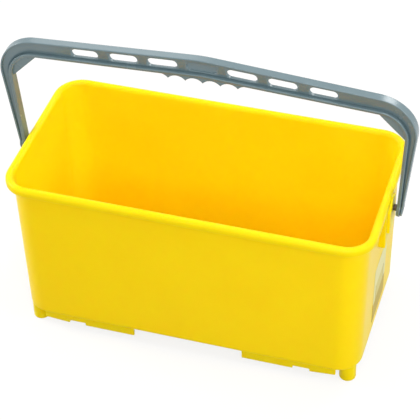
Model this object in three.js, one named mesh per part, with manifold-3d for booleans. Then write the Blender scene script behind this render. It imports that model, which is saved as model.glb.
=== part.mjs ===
// Rectangular window cleaning bucket with a swinging bail handle.
// Millimetres, +Z up. The origin is on the ground under the middle of the bucket,
// X runs along the long sides and the front faces -Y.
import * as THREE from "three";
import { mergeVertices } from "three/addons/utils/BufferGeometryUtils.js";
import Module from "manifold-3d";

const wasm = await Module();
wasm.setup();

// Bucket: outside of the rolled rim, and the walls under it
const rimLength = 540;
const rimWidth = 271;
const bucketHeight = 274;
const rimCornerRadius = 42;
const rimRoll = 12;
const lipThickness = 2.6;
const lipSkirt = 6;
const wallThickness = 2.8;
const endDraft = 4.6;
const sideDraft = 0.6;
const wallCornerRadius = 38.5;
const baseCornerRadius = 36.5;

// Base: the floor stands clear of the ground on four feet and two rails
const floorHeight = 27;
const floorThickness = 3;
const outerEdgeRadius = 4;
const innerEdgeRadius = 9;
const footRadius = 12.3;
const footEdge = 2.5;
const footFromEnd = 17.9;
const footFromSide = 21.2;
const railFromSide = 2.4;
const railThickness = 3;
const railLift = 12.8;
const railStart = 83.3;
const railNotchStart = 160;
const railNotchWidth = 25.6;
const railNotchHeight = 4.9;
const railEnd = 224;
const railEndRise = 3.2;

// Ears that carry the handle: a wide pad and a narrower arched one on it
const pivotDrop = 27.5;
const widePadReach = 2;
const widePadHalfWidth = 28;
const widePadDrop = 54;
const earReach = 1.9;
const earHalfWidth = 20;
const earDrop = 32;
const earShell = 3;
const earBossRadius = 10;
const earBoreDepth = 12;

// Pivot pins
const pinRadius = 4.8;
const pinHeadRadius = 6.4;
const pinHeadThickness = 2;
const pinSink = 0.9;
const pinEdge = 0.7;
const pinEndGap = 0.5;
const fitGap = 0.3;
const runningGap = 0.1;

// Handle, measured in its own plane from the pivot axis
const handleLean = THREE.MathUtils.degToRad(2.5);
const crestHeight = 212.6;
const crestAngle = THREE.MathUtils.degToRad(3.8);
const crestHalfWidth = 16;
const outerCornerRadius = 58;
const armOuter = 16.2;
const armOuterSplay = THREE.MathUtils.degToRad(5.8);
const barHeight = 31.4;
const gripAngle = THREE.MathUtils.degToRad(2.87);
const innerCornerRadius = 38;
const armInner = 7.4;
const armInnerSplay = THREE.MathUtils.degToRad(2.7);
const outerFlange = 2.6;
const gripFlange = 5.5;
const armFlange = 5.5;
const webThickness = 5;
const ribThickness = 3.6;
const barDepth = 12.5;
const shoulderDepth = 15.5;
const armDepth = 17;
const innerEyeRadius = 12.2;
const outerEyeRadius = 10.8;
const handleBossRadius = 9.3;

// Slots along the handle's web, the blind one in the middle and the finger grip
const slotPitch = 56.7;
const slotLength = 43.3;
const slotShortening = 2;
const slotHeight = 13.6;
const slotRise = 0.5;
const slotsPerSide = 3;
const blindPocketDepth = 1.5;
const scallopPitch = 25;
const scallopDepth = 6.3;
const scallops = 4;
const cuspDrop = 12;
const gussetWidth = 40;
const gussetDrop = 53.6;
const gussetRootOverlap = 2;

// Blank label on the right end
const labelWidth = 76;
const labelHeight = 104;
const labelThickness = 0.4;
const labelBottom = 48;
const labelCorner = 3;

const overrun = 3;

// How finely curves are cut into flats
const weldDistance = 1e-4;
const arcSteps = 12;
const slotArcSteps = 6;
const roundSteps = 32;
const cornerSteps = 8;
const bendSteps = 14;
const edgeSteps = 3;

// Places that several pieces share
const halfLength = rimLength / 2;
const halfWidth = rimWidth / 2;
const rollRadius = rimRoll / 2;
const rollCentre = bucketHeight - rollRadius;
const lipEnd = rollCentre - lipSkirt;
const pivotHeight = bucketHeight - pivotDrop;
const earFace = halfLength + earReach;
const wallInset = rimRoll - wallThickness;
const innerReach = halfLength + armInner;
const outerReach = halfLength + armOuter;
const gripHeight = crestHeight - barHeight;
const cuspHeight = gripHeight - cuspDrop;
const gussetArmEnd = gripHeight - gussetDrop;
const gussetBarEnd = innerReach + gussetArmEnd * Math.tan(armInnerSplay) - gussetWidth;

const yellowPlastic = { color: 0xf8cb12, roughness: 0.35, metalness: 0 };
const greyPlastic = { color: 0x7d8a8f, roughness: 0.45, metalness: 0 };
const darkPlastic = { color: 0x4a4d4f, roughness: 0.5, metalness: 0 };
const labelPaper = { color: 0xeeeedd, roughness: 0.6, metalness: 0 };

// Solids: three.js geometry in and out of the boolean library
function toSolid(geometry) {
  const bare = new THREE.BufferGeometry();
  bare.setAttribute("position", geometry.getAttribute("position").clone());
  if (geometry.index) bare.setIndex(geometry.index.clone());
  const merged = mergeVertices(bare, weldDistance);
  const vertProperties = new Float32Array(merged.getAttribute("position").array);
  const triVerts = new Uint32Array(merged.index.array);
  return new wasm.Manifold(new wasm.Mesh({ numProp: 3, vertProperties, triVerts }));
}

function toGeometry(solid) {
  const mesh = solid.getMesh();
  const geometry = new THREE.BufferGeometry();
  geometry.setAttribute("position", new THREE.BufferAttribute(new Float32Array(mesh.vertProperties), 3));
  geometry.setIndex(new THREE.BufferAttribute(new Uint32Array(mesh.triVerts), 1));
  geometry.computeVertexNormals();
  return geometry;
}

function joined(solids) {
  return solids.reduce((whole, solid) => whole.add(solid));
}

// Outline in the X-Z plane, extruded along Y about the middle plane
function plateXZ(shape, depth, curveSegments = arcSteps) {
  const geometry = new THREE.ExtrudeGeometry(shape, { depth, bevelEnabled: false, curveSegments });
  geometry.rotateX(Math.PI / 2);
  geometry.translate(0, depth / 2, 0);
  return geometry;
}

// Outline in the Y-Z plane, extruded along X from one place to another
function blockYZ(shape, fromX, toX, curveSegments = arcSteps) {
  const geometry = new THREE.ExtrudeGeometry(shape, { depth: toX - fromX, bevelEnabled: false, curveSegments });
  geometry.rotateX(Math.PI / 2);
  geometry.rotateZ(Math.PI / 2);
  geometry.translate(fromX, 0, 0);
  return geometry;
}

// Round bar along X on the pivot axis
function axle(radius, fromX, toX, centreZ) {
  const geometry = new THREE.CylinderGeometry(radius, radius, toX - fromX, roundSteps);
  geometry.rotateZ(Math.PI / 2);
  geometry.translate((fromX + toX) / 2, 0, centreZ);
  return geometry;
}

// Rounded rectangle around the Z axis, as a ring of points
function rectangleRing(halfX, halfY, radius, z) {
  const points = [];
  const corners = [[1, 1, 0], [-1, 1, 1], [-1, -1, 2], [1, -1, 3]];
  for (const [signX, signY, quarter] of corners) {
    for (let step = 0; step <= cornerSteps; step += 1) {
      const angle = (quarter + step / cornerSteps) * Math.PI / 2;
      points.push(new THREE.Vector3(
        signX * (halfX - radius) + radius * Math.cos(angle),
        signY * (halfY - radius) + radius * Math.sin(angle),
        z,
      ));
    }
  }
  return points;
}

// Skin over a stack of rings, closed by flat caps on the first and last ring
function ringLoft(rings) {
  const count = rings[0].length;
  const positions = rings.flat().flatMap((point) => [point.x, point.y, point.z]);
  const index = [];
  for (let row = 0; row + 1 < rings.length; row += 1) {
    for (let i = 0; i < count; i += 1) {
      const a = row * count + i;
      const b = row * count + (i + 1) % count;
      index.push(a, b, b + count, a, b + count, a + count);
    }
  }
  const last = (rings.length - 1) * count;
  for (let i = 1; i + 1 < count; i += 1) {
    index.push(0, i + 1, i);
    index.push(last, last + i, last + i + 1);
  }
  const geometry = new THREE.BufferGeometry();
  geometry.setAttribute("position", new THREE.Float32BufferAttribute(positions, 3));
  geometry.setIndex(index);
  return geometry;
}

// Outside of the drafted wall at a height, moved in by an inset
function wallRing(z, inset) {
  const share = (z - floorHeight) / (rollCentre - floorHeight);
  const radius = THREE.MathUtils.lerp(baseCornerRadius, wallCornerRadius, share);
  return rectangleRing(
    halfLength - wallInset - endDraft * (1 - share) - inset,
    halfWidth - wallInset - sideDraft * (1 - share) - inset,
    radius - inset,
    z,
  );
}

function rimRing(inset, z) {
  return rectangleRing(halfLength - inset, halfWidth - inset, rimCornerRadius - inset, z);
}

// The tub in one skin: outside wall, hollow rolled rim, inside wall, floor
function tubSolid() {
  const rings = [];
  for (let step = 0; step <= edgeSteps; step += 1) {
    const angle = step / edgeSteps * Math.PI / 2;
    const inset = outerEdgeRadius * (1 - Math.sin(angle));
    rings.push(wallRing(floorHeight + outerEdgeRadius * (1 - Math.cos(angle)), inset));
  }
  rings.push(wallRing(lipEnd, 0));
  const hollowRadius = (wallInset - lipThickness) / 2;
  const hollowMiddle = lipThickness + hollowRadius;
  const hollowSteps = 6;
  for (let step = 0; step <= hollowSteps; step += 1) {
    const angle = step / hollowSteps * Math.PI;
    const inset = hollowMiddle + hollowRadius * Math.cos(angle);
    rings.push(rimRing(inset, rollCentre + hollowRadius * Math.sin(angle)));
  }
  const lipEdge = lipThickness / 3;
  rings.push(rimRing(lipThickness, lipEnd + lipEdge));
  rings.push(rimRing(lipThickness - lipEdge, lipEnd));
  rings.push(rimRing(lipEdge, lipEnd));
  rings.push(rimRing(0, lipEnd + lipEdge));
  const rollSteps = 8;
  for (let step = 0; step <= rollSteps; step += 1) {
    const angle = step / rollSteps * Math.PI;
    const inset = rollRadius * (1 - Math.cos(angle));
    rings.push(rimRing(inset, rollCentre + rollRadius * Math.sin(angle)));
  }
  rings.push(wallRing(lipEnd, wallThickness));
  const floorTop = floorHeight + floorThickness;
  for (let step = edgeSteps; step >= 0; step -= 1) {
    const angle = step / edgeSteps * Math.PI / 2;
    const inset = wallThickness + innerEdgeRadius * (1 - Math.sin(angle));
    rings.push(wallRing(floorTop + innerEdgeRadius * (1 - Math.cos(angle)), inset));
  }
  return toSolid(ringLoft(rings));
}

// Foot: a round post with an eased lower edge
function footSolid(signX, signY) {
  const profile = [new THREE.Vector2(0, 0)];
  for (let step = 0; step <= edgeSteps; step += 1) {
    const angle = step / edgeSteps * Math.PI / 2;
    const radius = footRadius - footEdge * (1 - Math.sin(angle));
    profile.push(new THREE.Vector2(radius, footEdge * (1 - Math.cos(angle))));
  }
  const top = floorHeight + floorThickness / 2;
  profile.push(new THREE.Vector2(footRadius, top), new THREE.Vector2(0, top));
  const geometry = new THREE.LatheGeometry(profile, roundSteps);
  geometry.rotateX(Math.PI / 2);
  const baseHalfLength = halfLength - wallInset - endDraft;
  const baseHalfWidth = halfWidth - wallInset - sideDraft;
  geometry.translate(signX * (baseHalfLength - footFromEnd), signY * (baseHalfWidth - footFromSide), 0);
  return toSolid(geometry);
}

// Rail under one half of a long side, with its low notch
function railSolid(signX, signY) {
  const top = floorHeight + floorThickness / 2;
  const outline = [
    [railStart, railLift],
    [railNotchStart, railLift],
    [railNotchStart, railLift + railNotchHeight],
    [railNotchStart + railNotchWidth, railLift + railNotchHeight],
    [railNotchStart + railNotchWidth, railLift],
    [railEnd, railLift + railEndRise],
    [railEnd, top],
    [railStart, top],
  ];
  const points = outline.map(([x, z]) => new THREE.Vector2(signX * x, z));
  const geometry = plateXZ(new THREE.Shape(points), railThickness);
  const railFace = halfWidth - wallInset - sideDraft - railFromSide;
  geometry.translate(0, signY * (railFace - railThickness / 2), 0);
  return toSolid(geometry);
}

// Rectangle in the Y-Z plane
function rectangleYZ(halfY, fromZ, toZ) {
  return new THREE.Shape([
    new THREE.Vector2(-halfY, fromZ),
    new THREE.Vector2(halfY, fromZ),
    new THREE.Vector2(halfY, toZ),
    new THREE.Vector2(-halfY, toZ),
  ]);
}

// One end's handle ear, built for +X, with its room left open from below
function earSolid() {
  const root = halfLength - wallInset - endDraft;
  const widePadFace = halfLength - widePadReach;
  const widePadBottom = pivotHeight - widePadDrop;
  const earBottom = pivotHeight - earDrop;
  const earTop = new THREE.Shape();
  earTop.moveTo(-earHalfWidth, earBottom);
  earTop.lineTo(earHalfWidth, earBottom);
  earTop.lineTo(earHalfWidth, pivotHeight);
  earTop.absarc(0, pivotHeight, earHalfWidth, 0, Math.PI, false);
  earTop.lineTo(-earHalfWidth, earBottom);
  const widePad = toSolid(blockYZ(rectangleYZ(widePadHalfWidth, widePadBottom, rollCentre), root, widePadFace));
  const ear = toSolid(blockYZ(earTop, root, earFace));
  const roomTop = pivotHeight - earBossRadius;
  const room = rectangleYZ(widePadHalfWidth - earShell, widePadBottom - overrun, roomTop);
  return widePad.add(ear).subtract(toSolid(blockYZ(room, root - overrun, widePadFace - earShell)));
}

function earBore() {
  return toSolid(axle(pinRadius + runningGap, earFace - earBoreDepth, earFace + overrun, pivotHeight));
}

// What the tub keeps clear of ear material: its inside
function tubInside() {
  const rings = [
    wallRing(floorHeight + floorThickness + innerEdgeRadius, wallThickness),
    wallRing(lipEnd, wallThickness),
    rimRing(rimRoll, rollCentre),
    rimRing(rimRoll, bucketHeight + overrun),
  ];
  return toSolid(ringLoft(rings));
}

function bucketBody() {
  const signs = [1, -1];
  const base = signs.flatMap((signX) => signs.flatMap((signY) => [
    footSolid(signX, signY),
    railSolid(signX, signY),
  ]));
  const ear = earSolid().subtract(tubInside());
  let body = joined([tubSolid(), ...base, ear, ear.mirror([1, 0, 0])]);
  const bore = earBore();
  body = body.subtract(bore).subtract(bore.mirror([1, 0, 0]));
  return body;
}

// Edge of the handle on the right half: along the bar, round the corner, down the arm
function handleEdge(edge, barInset, armInset) {
  const crest = edge.crest - barInset / Math.cos(edge.slope);
  const reach = edge.reach - armInset / Math.cos(edge.splay);
  const radius = edge.radius - (barInset + armInset) / 2;
  const tanSlope = Math.tan(edge.slope);
  const tanSplay = Math.tan(edge.splay);
  const cornerZ = (crest - reach * tanSlope) / (1 + tanSlope * tanSplay);
  const corner = new THREE.Vector2(reach + cornerZ * tanSplay, cornerZ);
  const alongBar = new THREE.Vector2(-Math.cos(edge.slope), Math.sin(edge.slope));
  const alongArm = new THREE.Vector2(-Math.sin(edge.splay), -Math.cos(edge.splay));
  const turn = Math.PI - alongBar.angleTo(alongArm);
  const setback = radius * Math.tan(turn / 2);
  const barEnd = corner.clone().addScaledVector(alongBar, setback);
  const inward = new THREE.Vector2(-Math.sin(edge.slope), -Math.cos(edge.slope));
  const centre = barEnd.clone().addScaledVector(inward, radius);
  const startAngle = Math.PI / 2 - edge.slope;
  const points = [new THREE.Vector2(0, crest)];
  if (edge.crestHalfWidth > 0) {
    points[0].y -= edge.crestHalfWidth * tanSlope / 2;
    points.push(new THREE.Vector2(edge.crestHalfWidth, crest - edge.crestHalfWidth * tanSlope));
  }
  for (let step = 0; step <= bendSteps; step += 1) {
    const angle = startAngle - turn * step / bendSteps;
    const spoke = new THREE.Vector2(Math.cos(angle), Math.sin(angle));
    points.push(centre.clone().addScaledVector(spoke, radius));
  }
  return { points, tail: (z) => new THREE.Vector2(reach + z * tanSplay, z) };
}

const outerEdge = {
  crest: crestHeight,
  slope: crestAngle,
  reach: outerReach,
  splay: armOuterSplay,
  radius: outerCornerRadius,
  crestHalfWidth,
};
const innerEdge = {
  crest: gripHeight,
  slope: gripAngle,
  reach: innerReach,
  splay: armInnerSplay,
  radius: innerCornerRadius,
  crestHalfWidth: 0,
};

// Band between an upper and a lower edge, across both halves, down to a level
function handleBand(upper, lower, endZ) {
  const right = [...upper.points, upper.tail(endZ), lower.tail(endZ), ...lower.points.slice().reverse()];
  const left = right.slice().reverse().filter((point) => point.x > 0);
  return new THREE.Shape([...right, ...left.map((point) => new THREE.Vector2(-point.x, point.y))]);
}

// Side view of the handle: the slim bar, the deeper arms and the round eyes
function sideEnvelope(eyeRadius) {
  const barHalf = barDepth / 2;
  const shoulderHalf = shoulderDepth / 2;
  const armHalf = armDepth / 2;
  const barLevel = gripHeight - gripFlange;
  const shoulderLevel = crestHeight - outerCornerRadius;
  const eyeAngle = Math.acos(armHalf / eyeRadius);
  const top = crestHeight + overrun;
  const shape = new THREE.Shape();
  shape.moveTo(barHalf, top);
  shape.lineTo(-barHalf, top);
  shape.lineTo(-barHalf, barLevel);
  shape.lineTo(-shoulderHalf, shoulderLevel);
  shape.lineTo(-armHalf, Math.sin(eyeAngle) * eyeRadius);
  shape.absarc(0, 0, eyeRadius, Math.PI - eyeAngle, 2 * Math.PI + eyeAngle, false);
  shape.lineTo(shoulderHalf, shoulderLevel);
  shape.lineTo(barHalf, barLevel);
  shape.lineTo(barHalf, top);
  return toSolid(blockYZ(shape, -outerReach - outerCornerRadius, outerReach + outerCornerRadius));
}

// Slot outline with round ends, following the slope of the bar
function slotSolid(centreX, length, depth, centreY) {
  const half = (length - slotHeight) / 2;
  const radius = slotHeight / 2;
  const shape = new THREE.Shape();
  shape.moveTo(-half, -radius);
  shape.lineTo(half, -radius);
  shape.absarc(half, 0, radius, -Math.PI / 2, Math.PI / 2, false);
  shape.lineTo(-half, radius);
  shape.absarc(-half, 0, radius, Math.PI / 2, 3 * Math.PI / 2, false);
  const tilt = (crestAngle + gripAngle) / 2;
  const geometry = plateXZ(shape, depth, slotArcSteps);
  geometry.rotateY(Math.sign(centreX) * tilt);
  const middle = (crestHeight + gripHeight) / 2 + slotRise;
  geometry.translate(centreX, centreY, middle - Math.abs(centreX) * Math.tan(tilt));
  return toSolid(geometry);
}

// Scalloped finger grip under the middle of the bar
function gripSolid() {
  const halfSpan = scallopPitch * scallops / 2;
  const radius = (scallopPitch ** 2 / 4 + scallopDepth ** 2) / (2 * scallopDepth);
  const halfAngle = Math.asin(scallopPitch / 2 / radius);
  const centreZ = cuspHeight + scallopDepth - radius;
  const root = gripHeight + gripFlange / 2;
  const shape = new THREE.Shape();
  const endX = halfSpan + scallopPitch / 2;
  shape.moveTo(endX, root);
  shape.lineTo(-endX, root);
  shape.absarc(-endX, centreZ, radius, Math.PI / 2, Math.PI / 2 - halfAngle, true);
  for (let i = 0; i < scallops; i += 1) {
    const centreX = -halfSpan + scallopPitch * (i + 1 / 2);
    shape.absarc(centreX, centreZ, radius, Math.PI / 2 + halfAngle, Math.PI / 2 - halfAngle, true);
  }
  shape.absarc(endX, centreZ, radius, Math.PI / 2 + halfAngle, Math.PI / 2, true);
  return toSolid(plateXZ(shape, ribThickness, slotArcSteps));
}

// Web plate that fills the inside of one corner up to a straight edge
function gussetSolid(inner, signX) {
  const barPoint = new THREE.Vector2(gussetBarEnd, gripHeight - gussetBarEnd * Math.tan(gripAngle));
  const armPoint = inner.tail(gussetArmEnd);
  barPoint.y += gussetRootOverlap;
  armPoint.x += gussetRootOverlap;
  const cornerPoints = inner.points.filter((point) => point.x > gussetBarEnd && point.y > gussetArmEnd);
  const roots = cornerPoints.map((point) => new THREE.Vector2(
    point.x + gussetRootOverlap * Math.SQRT1_2,
    point.y + gussetRootOverlap * Math.SQRT1_2,
  ));
  const points = [barPoint, ...roots, armPoint].map((point) => new THREE.Vector2(signX * point.x, point.y));
  return toSolid(plateXZ(new THREE.Shape(points), ribThickness));
}

function bailHandle() {
  const outer = handleEdge(outerEdge, 0, 0);
  const outerInside = handleEdge(outerEdge, outerFlange, outerFlange);
  const inner = handleEdge(innerEdge, 0, 0);
  const innerInside = handleEdge(innerEdge, -gripFlange, -armFlange);
  const fullDepth = 2 * innerEyeRadius + overrun;
  const armEnd = -innerEyeRadius - overrun;
  const outerRim = toSolid(plateXZ(handleBand(outer, outerInside, armEnd), fullDepth))
    .intersect(sideEnvelope(outerEyeRadius));
  const innerRim = toSolid(plateXZ(handleBand(innerInside, inner, armEnd), fullDepth))
    .intersect(sideEnvelope(innerEyeRadius));
  const web = toSolid(plateXZ(handleBand(
    handleEdge(outerEdge, outerFlange / 2, outerFlange / 2),
    handleEdge(innerEdge, -gripFlange / 2, -armFlange / 2),
    0,
  ), webThickness));
  const bossEnd = outerReach - outerFlange / 2;
  const boss = toSolid(axle(handleBossRadius, innerReach + armFlange / 2, bossEnd, 0));
  const gussets = [1, -1].map((signX) => gussetSolid(inner, signX));
  let handle = joined([outerRim, innerRim, web, boss, boss.mirror([1, 0, 0]), gripSolid(), ...gussets]);

  for (let i = 1; i <= slotsPerSide; i += 1) {
    const length = slotLength - slotShortening * (i - 1);
    for (const signX of [1, -1]) {
      handle = handle.subtract(slotSolid(signX * slotPitch * i, length, webThickness + overrun, 0));
    }
  }
  const pocketDepth = blindPocketDepth + overrun;
  const pocketMiddle = webThickness / 2 - blindPocketDepth + pocketDepth / 2;
  for (const signY of [1, -1]) {
    handle = handle.subtract(slotSolid(0, slotLength, pocketDepth, signY * pocketMiddle));
  }

  const headSeat = outerReach - pinSink - pinHeadThickness - fitGap;
  const bore = toSolid(axle(pinRadius + fitGap, innerReach - armFlange, outerReach + overrun, 0));
  const headBore = toSolid(axle(pinHeadRadius + fitGap, headSeat, outerReach + overrun, 0));
  const bores = bore.add(headBore);
  return handle.subtract(bores).subtract(bores.mirror([1, 0, 0]));
}

// Pin profile turned about its own length, head at the outer end
function pinGeometry(signX) {
  const tip = earFace - earBoreDepth + pinEndGap;
  const headEnd = outerReach - pinSink;
  const headStart = headEnd - pinHeadThickness;
  const profile = [
    [0, tip],
    [pinRadius - pinEdge, tip],
    [pinRadius, tip + pinEdge],
    [pinRadius, headStart],
    [pinHeadRadius, headStart],
    [pinHeadRadius, headEnd - pinEdge],
    [pinHeadRadius - pinEdge, headEnd],
    [0, headEnd],
  ];
  const geometry = new THREE.LatheGeometry(profile.map(([radius, x]) => new THREE.Vector2(radius, x)), roundSteps);
  geometry.rotateZ(-signX * Math.PI / 2);
  return geometry;
}

// Label with rounded corners, lying along the drafted end wall
function labelGeometry() {
  const draftAngle = Math.atan(endDraft / (rollCentre - floorHeight));
  const halfLabel = labelWidth / 2;
  const shape = new THREE.Shape();
  shape.moveTo(halfLabel - labelCorner, 0);
  shape.absarc(halfLabel - labelCorner, labelCorner, labelCorner, -Math.PI / 2, 0, false);
  shape.absarc(halfLabel - labelCorner, labelHeight - labelCorner, labelCorner, 0, Math.PI / 2, false);
  shape.absarc(labelCorner - halfLabel, labelHeight - labelCorner, labelCorner, Math.PI / 2, Math.PI, false);
  shape.absarc(labelCorner - halfLabel, labelCorner, labelCorner, Math.PI, 3 * Math.PI / 2, false);
  const geometry = blockYZ(shape, fitGap, fitGap + labelThickness, slotArcSteps);
  geometry.rotateY(draftAngle);
  const rise = (labelBottom - floorHeight) * Math.tan(draftAngle);
  geometry.translate(halfLength - wallInset - endDraft + rise, 0, labelBottom);
  return geometry;
}

function piece(name, geometry, look) {
  const mesh = new THREE.Mesh(geometry, new THREE.MeshStandardMaterial(look));
  mesh.name = name;
  return mesh;
}

const bucket = new THREE.Group();
bucket.add(piece("bucket_body", toGeometry(bucketBody()), yellowPlastic));
bucket.add(piece("end_label", labelGeometry(), labelPaper));

const bail = new THREE.Group();
bail.position.z = pivotHeight;
bail.rotation.x = handleLean;
bail.add(piece("bail_handle", toGeometry(bailHandle()), greyPlastic));
bail.add(piece("pivot_pin_right", pinGeometry(1), darkPlastic));
bail.add(piece("pivot_pin_left", pinGeometry(-1), darkPlastic));
bucket.add(bail);

export default bucket;
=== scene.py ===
import math

import bpy
import numpy as np
from mathutils import Matrix


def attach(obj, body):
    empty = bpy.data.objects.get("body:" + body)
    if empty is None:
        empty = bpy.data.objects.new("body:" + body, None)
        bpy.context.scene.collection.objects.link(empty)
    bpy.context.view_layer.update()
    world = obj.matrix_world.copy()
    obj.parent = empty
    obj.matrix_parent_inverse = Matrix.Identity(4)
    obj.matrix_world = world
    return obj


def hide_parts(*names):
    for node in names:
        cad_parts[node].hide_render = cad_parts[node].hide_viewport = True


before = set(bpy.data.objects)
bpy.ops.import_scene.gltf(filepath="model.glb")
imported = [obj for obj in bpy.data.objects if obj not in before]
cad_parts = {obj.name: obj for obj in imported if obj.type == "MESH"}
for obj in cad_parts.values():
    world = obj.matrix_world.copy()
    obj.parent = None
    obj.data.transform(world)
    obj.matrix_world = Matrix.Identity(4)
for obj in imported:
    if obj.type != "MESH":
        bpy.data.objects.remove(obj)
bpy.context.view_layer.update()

# Rectangular cleaning bucket with a swinging bail handle.
# Sizes are in millimetres here and become metres when a mesh is made.
millimetre = 0.001
bucketBody = "bucket"
bailBody = "bail"


# camera

cameraView = {
    "azimuth": 18.279,
    "elevation": 41.552,
    "roll": -1.931,
    "distance": 2410.45,
    "target": (9.351, -23.860, 199.649),
    "lens": 142.975,
    "sensor": 36.0,
}


def placeCamera(view):
    az, el, roll = (math.radians(view[key]) for key in ("azimuth", "elevation", "roll"))
    back = np.array([math.sin(az) * math.cos(el), -math.cos(az) * math.cos(el), math.sin(el)])
    level = np.array([math.cos(az), math.sin(az), 0.0])
    upright = np.cross(back, level)
    right = level * math.cos(roll) + upright * math.sin(roll)
    up = upright * math.cos(roll) - level * math.sin(roll)
    place = (np.array(view["target"]) + back * view["distance"]) * millimetre
    data = bpy.data.cameras.new("photoCamera")
    data.lens = view["lens"]
    data.sensor_width = view["sensor"]
    data.clip_end = 30.0
    camera = bpy.data.objects.new("photoCamera", data)
    bpy.context.scene.collection.objects.link(camera)
    columns = np.column_stack([right, up, back, place])
    camera.matrix_world = Matrix([*columns.tolist(), [0, 0, 0, 1]])
    bpy.context.scene.camera = camera


placeCamera(cameraView)
print("camera placed")


# helpers for materials

def toLinear(hexText):  # sRGB hex to linear colour
    srgb = np.array([int(hexText[i:i + 2], 16) for i in (1, 3, 5)]) / 255
    linear = np.where(srgb <= 0.04045, srgb / 12.92, ((srgb + 0.055) / 1.055) ** 2.4)
    return (*linear.tolist(), 1.0)


def addNode(tree, kind, settings=None, links=None):  # one node, its values and what feeds it
    node = tree.nodes.new(kind)
    for key, value in (settings or {}).items():
        if isinstance(key, str) and hasattr(node, key):
            setattr(node, key, value)
        else:
            node.inputs[key].default_value = value
    for key, source in (links or {}).items():
        tree.links.new(source, node.inputs[key])
    return node


def newMaterial(name):
    material = bpy.data.materials.new(name)
    material.use_nodes = True
    material.node_tree.nodes.clear()
    return material, material.node_tree


def setRamp(node, stops):
    elements = node.color_ramp.elements
    while len(elements) < len(stops):
        elements.new(1.0)
    for element, (place, colour) in zip(elements, stops):
        element.position = place
        element.color = colour
    return node


def grainScale(size):  # noise scale for a grain of this many millimetres
    return 1.0 / (size * millimetre)


def noiseAt(tree, place, size, detail):  # noise on Object coordinates, its grain in millimetres
    return addNode(tree, "ShaderNodeTexNoise", {"Scale": grainScale(size), "Detail": detail},
                   {"Vector": place}).outputs["Fac"]


def glossFrom(tree, noise, roughness, down, up):  # roughness that follows a noise round its middle
    return addNode(tree, "ShaderNodeMapRange", {
        "From Min": 0.3, "From Max": 0.7, "To Min": roughness - down, "To Max": roughness + up,
    }, {"Value": noise}).outputs["Result"]


def reliefFrom(tree, noise, strength, height):  # bump of a height in millimetres
    return addNode(tree, "ShaderNodeBump", {"Strength": strength, "Distance": height * millimetre},
                   {"Height": noise}).outputs["Normal"]


# helpers for surfaces

def gridSurface(points, closeRows=False):
    # points[row, column]; columns always join up, rows end in flat caps or join up too
    rows, columns = points.shape[:2]
    index = np.arange(rows * columns).reshape(rows, columns)
    right = np.roll(index, -1, axis=1)
    if closeRows:
        up, upRight = np.roll(index, -1, axis=0), np.roll(right, -1, axis=0)
    else:
        index, right, up, upRight = index[:-1], right[:-1], index[1:], right[1:]
    quads = np.stack([index, right, upRight, up], axis=-1).reshape(-1, 4).tolist()
    if not closeRows:
        quads.append(list(range(columns - 1, -1, -1)))
        quads.append(list(range((rows - 1) * columns, rows * columns)))
    return points.reshape(-1, 3), quads


def meshObject(name, surfaces, material, sharpAngle=35.0):
    points, faces, start = [], [], 0
    for surfacePoints, surfaceFaces in surfaces:
        points.append(surfacePoints)
        faces += [[corner + start for corner in face] for face in surfaceFaces]
        start += len(surfacePoints)
    mesh = bpy.data.meshes.new(name)
    mesh.from_pydata((np.concatenate(points) * millimetre).tolist(), [], faces)
    mesh.materials.append(material)
    mesh.polygons.foreach_set("use_smooth", np.ones(len(mesh.polygons), bool))
    mesh.set_sharp_from_angle(angle=math.radians(sharpAngle))
    mesh.update()
    piece = bpy.data.objects.new(name, mesh)
    bpy.context.scene.collection.objects.link(piece)
    return piece


def combine(piece, surfaces, operation):  # adds closed surfaces to a piece or cuts them out of it
    for surface in surfaces:
        tool = meshObject(piece.name + "Tool", [surface], piece.data.materials[0])
        change = piece.modifiers.new("change", "BOOLEAN")
        change.operation, change.solver, change.object = operation, "MANIFOLD", tool
        graph = bpy.context.evaluated_depsgraph_get()
        changed = bpy.data.meshes.new_from_object(piece.evaluated_get(graph))
        piece.modifiers.clear()
        old, piece.data = piece.data, changed
        toolMesh = tool.data
        bpy.data.objects.remove(tool)
        bpy.data.meshes.remove(toolMesh)
        bpy.data.meshes.remove(old)
    piece.data.name = piece.name
    piece.data.polygons.foreach_set("use_smooth", np.ones(len(piece.data.polygons), bool))
    piece.data.set_sharp_from_angle(angle=math.radians(35.0))


def surfaceOf(piece):  # hands a finished object back as a surface and removes it
    mesh = piece.data
    points = np.empty(len(mesh.vertices) * 3)
    mesh.vertices.foreach_get("co", points)
    faces = [list(face.vertices) for face in mesh.polygons]
    bpy.data.objects.remove(piece)
    bpy.data.meshes.remove(mesh)
    return points.reshape(-1, 3) / millimetre, faces


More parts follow.
